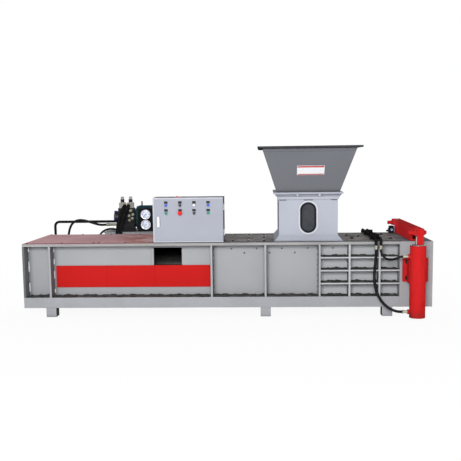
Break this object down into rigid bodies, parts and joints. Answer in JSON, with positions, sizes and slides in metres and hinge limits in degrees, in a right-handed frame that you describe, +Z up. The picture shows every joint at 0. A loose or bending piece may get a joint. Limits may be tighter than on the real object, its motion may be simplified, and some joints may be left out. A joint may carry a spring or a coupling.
{
  "type": "briquetting machine",
  "caption": "Horizontal hydraulic press that squeezes loose chips into briquettes, with a hopper and throat, ribbed chamber, lifting gate, control cabinet and power pack.",
  "frame": {"origin": "middle of the bounding box at floor level", "axes": "+X along the bed towards the gate, +Y towards the power pack at the rear, +Z up"},
  "size_m": [3.68, 1.627, 1.515],
  "materials": {
    "bed_paint": "satin grey enamel",
    "deck_paint": "worn dark grey enamel",
    "pink_cover": "faded pink-grey enamel",
    "red_paint": "gloss red enamel",
    "pale_paint": "smooth pale grey enamel",
    "hopper_paint": "matte mid grey enamel",
    "steel": "machined steel",
    "dark_steel": "oiled dark steel",
    "chrome_rod": "ground and chromed",
    "motor_paint": "dark teal enamel",
    "cast": "cast grey",
    "zinc": "yellow zinc plate",
    "line_steel": "dark phosphated tube",
    "hose_rubber": "matte black",
    "black_plastic": "moulded black",
    "white_plastic": "moulded white",
    "blue_plastic": "moulded blue",
    "green_plastic": "moulded green",
    "red_plastic": "moulded red",
    "knob_blue": "moulded dark blue",
    "dark_glass": "smoked pane in a black gasket",
    "plated": "zinc plated"
  },
  "bodies": {
    "bed": {"front_wall": "bed_paint", "rear_wall": "bed_paint", "floor_plate": "bed_paint", "end_plate": "bed_paint", "top_flanges": "bed_paint", "roof_plates": "deck_paint", "ribs": "bed_paint", "skids": "bed_paint", "legs": "bed_paint", "gate_posts": "bed_paint", "gate_crossbars": "bed_paint", "deck_covers": "pink_cover", "side_panel": "red_paint", "main_barrel": "dark_steel", "lift_barrels": "red_paint", "lift_glands": "steel", "lift_brackets": "red_paint", "feed_throat": "pale_paint", "hopper": "hopper_paint", "sight_window": "dark_glass", "cabinet": "pale_paint", "mounting_plate": "plated", "lamp": "red_plastic", "oil_tank": "pale_paint", "filler_cap": "black_plastic", "motor_housing": "motor_paint", "fan_cowl": "motor_paint", "pump": "cast", "valve_block": "dark_steel", "solenoid_valves": "plated", "gauge_panel": "black_plastic", "gauge_cases": "plated", "steel_pipes": "line_steel", "fittings": "zinc", "main_hose": "hose_rubber", "return_hose": "hose_rubber", "front_upper_hose": "hose_rubber", "front_lower_hose": "hose_rubber"},
    "ram": {"ram": "steel", "main_rod": "chrome_rod", "ram_pin": "steel"},
    "gate": {"gate_plate": "dark_steel", "crosshead": "red_paint", "crosshead_pins": "red_paint", "lift_rods": "chrome_rod"},
    "door": {"cabinet_door": "pale_paint"},
    "handle": {"door_handle": "white_plastic"},
    "button_blue_left": {"button_blue_left": "blue_plastic"},
    "selector_upper": {"selector_upper": "black_plastic"},
    "button_white": {"button_white": "white_plastic"},
    "button_blue_right": {"button_blue_right": "blue_plastic"},
    "button_green_left": {"button_green_left": "green_plastic"},
    "emergency_stop": {"emergency_stop": "red_plastic"},
    "selector_lower": {"selector_lower": "black_plastic"},
    "button_green_right": {"button_green_right": "green_plastic"},
    "rotor": {"motor_rotor": "steel"},
    "relief_knob_upper": {"relief_knob_upper": "knob_blue"},
    "relief_knob_lower": {"relief_knob_lower": "knob_blue"},
    "needle_upper": {"needle_upper": "black_plastic"},
    "needle_lower": {"needle_lower": "black_plastic"}
  },
  "joints": [
    {"name": "ram_slide", "type": "slide", "parent": "bed", "child": "ram", "axis": [1, 0, 0], "range_m": [0, 1.18]},
    {"name": "gate_lift", "type": "slide", "parent": "bed", "child": "gate", "axis": [0, 0, 1], "range_m": [0, 0.465]},
    {"name": "door_hinge", "type": "hinge", "parent": "bed", "child": "door", "pos_m": [-0.006, -0.576, 0.874], "axis": [0, 0, 1], "range_deg": [0, 110]},
    {"name": "handle_turn", "type": "hinge", "parent": "door", "child": "handle", "pos_m": [-0.595, -0.587, 0.8985], "axis": [0, -1, 0], "range_deg": [0, 90]},
    {"name": "button_blue_left_press", "type": "slide", "parent": "door", "child": "button_blue_left", "axis": [0, 1, 0], "range_m": [0, 0.004], "stiffness_N_per_m": 600},
    {"name": "button_white_press", "type": "slide", "parent": "door", "child": "button_white", "axis": [0, 1, 0], "range_m": [0, 0.004], "stiffness_N_per_m": 600},
    {"name": "button_blue_right_press", "type": "slide", "parent": "door", "child": "button_blue_right", "axis": [0, 1, 0], "range_m": [0, 0.004], "stiffness_N_per_m": 600},
    {"name": "button_green_left_press", "type": "slide", "parent": "door", "child": "button_green_left", "axis": [0, 1, 0], "range_m": [0, 0.004], "stiffness_N_per_m": 600},
    {"name": "emergency_stop_press", "type": "slide", "parent": "door", "child": "emergency_stop", "axis": [0, 1, 0], "range_m": [0, 0.004], "stiffness_N_per_m": 600},
    {"name": "button_green_right_press", "type": "slide", "parent": "door", "child": "button_green_right", "axis": [0, 1, 0], "range_m": [0, 0.004], "stiffness_N_per_m": 600},
    {"name": "selector_upper_turn", "type": "hinge", "parent": "door", "child": "selector_upper", "pos_m": [-0.399, -0.587, 1.007], "axis": [0, 1, 0], "range_deg": [-45, 45]},
    {"name": "selector_lower_turn", "type": "hinge", "parent": "door", "child": "selector_lower", "pos_m": [-0.273, -0.587, 0.937], "axis": [0, 1, 0], "range_deg": [-45, 45]},
    {"name": "rotor_spin", "type": "hinge", "parent": "bed", "child": "rotor", "pos_m": [-0.97, 0.549, 0.82], "axis": [1, 0, 0], "continuous": true},
    {"name": "relief_upper_turn", "type": "hinge", "parent": "bed", "child": "relief_knob_upper", "pos_m": [-1.15, 0.4075, 0.88547], "axis": [1, 0, 0], "range_deg": [-180, 180]},
    {"name": "relief_lower_turn", "type": "hinge", "parent": "bed", "child": "relief_knob_lower", "pos_m": [-1.15, 0.4075, 0.82255], "axis": [1, 0, 0], "range_deg": [-180, 180]},
    {"name": "needle_upper_swing", "type": "hinge", "parent": "bed", "child": "needle_upper", "pos_m": [-0.85703, 0.37, 0.86291], "axis": [0, 1, 0], "range_deg": [0, 270], "stiffness_Nm_per_rad": 0.001},
    {"name": "needle_lower_swing", "type": "hinge", "parent": "bed", "child": "needle_lower", "pos_m": [-0.85703, 0.37, 0.75991], "axis": [0, 1, 0], "range_deg": [0, 270], "stiffness_Nm_per_rad": 0.001}
  ]
}
